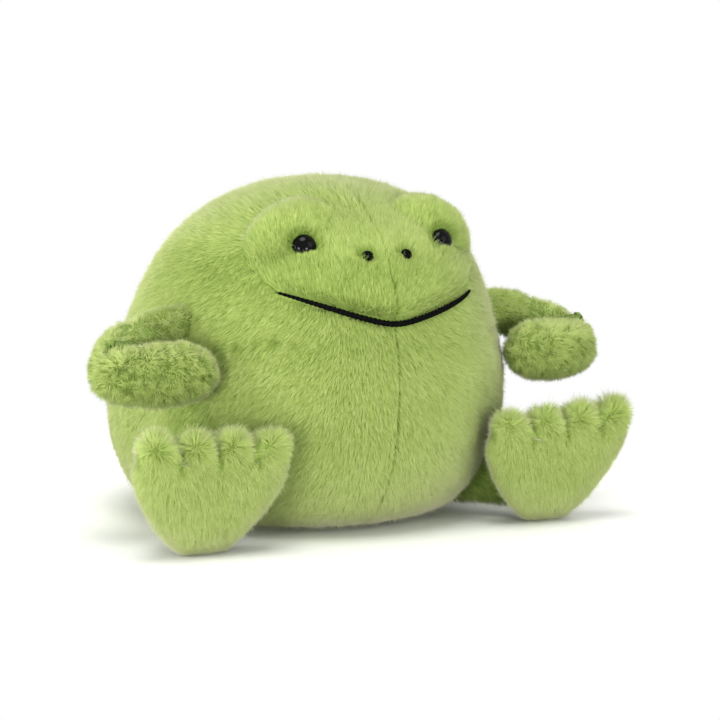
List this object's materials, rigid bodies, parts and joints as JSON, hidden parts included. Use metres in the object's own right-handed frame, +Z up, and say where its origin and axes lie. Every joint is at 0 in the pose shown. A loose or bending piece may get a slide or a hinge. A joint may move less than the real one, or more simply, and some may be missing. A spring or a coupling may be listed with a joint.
{
  "type": "plush frog",
  "caption": "Sitting plush frog: round stuffed body sewn from fur panels, folded arms, short legs with flat toed feet, safety eyes and a long yarn smile.",
  "frame": {"origin": "middle of the flat seat that the body rests on", "axes": "+X towards the frog's left side, +Y towards its back, +Z up; the face looks along -Y"},
  "size_m": [0.2078, 0.1603, 0.131],
  "materials": {
    "fur": "short dense plush pile, soft grey-green sheen",
    "arm_fur": "the same plush pile, a shade darker",
    "padding": "white polyester fibre fill",
    "bag_cloth": "plain woven cloth",
    "yarn": "matte black yarn",
    "eye": "polished black",
    "washer": "natural moulded plastic"
  },
  "bodies": {
    "torso": {"base_panel": "fur", "left_back_panel": "fur", "right_back_panel": "fur", "left_belly_panel": "fur", "right_belly_panel": "fur", "left_muzzle_panel": "fur", "right_muzzle_panel": "fur", "left_brow_panel": "fur", "right_brow_panel": "fur", "body_stuffing": "padding", "pellet_bag": "bag_cloth", "mouth_yarn": "yarn", "left_eye": "eye", "right_eye": "eye", "left_eye_washer": "washer", "right_eye_washer": "washer", "left_nostril_knot": "yarn", "right_nostril_knot": "yarn"},
    "left_arm": {"left_arm_inner_panel": "arm_fur", "left_arm_outer_panel": "arm_fur", "left_arm_stuffing": "padding"},
    "right_arm": {"right_arm_inner_panel": "arm_fur", "right_arm_outer_panel": "arm_fur", "right_arm_stuffing": "padding"},
    "left_leg": {"left_leg_cover": "arm_fur", "left_leg_stuffing": "padding", "left_foot_sole": "fur", "left_foot_top": "fur", "left_foot_stuffing": "padding"},
    "right_leg": {"right_leg_cover": "arm_fur", "right_leg_stuffing": "padding", "right_foot_sole": "fur", "right_foot_top": "fur", "right_foot_stuffing": "padding"}
  },
  "joints": [
    {"name": "left_shoulder", "type": "hinge", "parent": "torso", "child": "left_arm", "pos_m": [0.06705, -0.03092, 0.077], "axis": [0, 0, 1], "range_deg": [0, 35]},
    {"name": "right_shoulder", "type": "hinge", "parent": "torso", "child": "right_arm", "pos_m": [-0.06705, -0.03092, 0.077], "axis": [0, 0, -1], "range_deg": [0, 35]},
    {"name": "left_hip", "type": "hinge", "parent": "torso", "child": "left_leg", "pos_m": [0.0635, -0.03185, 0.017], "axis": [0, 0, 1], "range_deg": [0, 25]},
    {"name": "right_hip", "type": "hinge", "parent": "torso", "child": "right_leg", "pos_m": [-0.0635, -0.03185, 0.017], "axis": [0, 0, -1], "range_deg": [0, 25]}
  ]
}
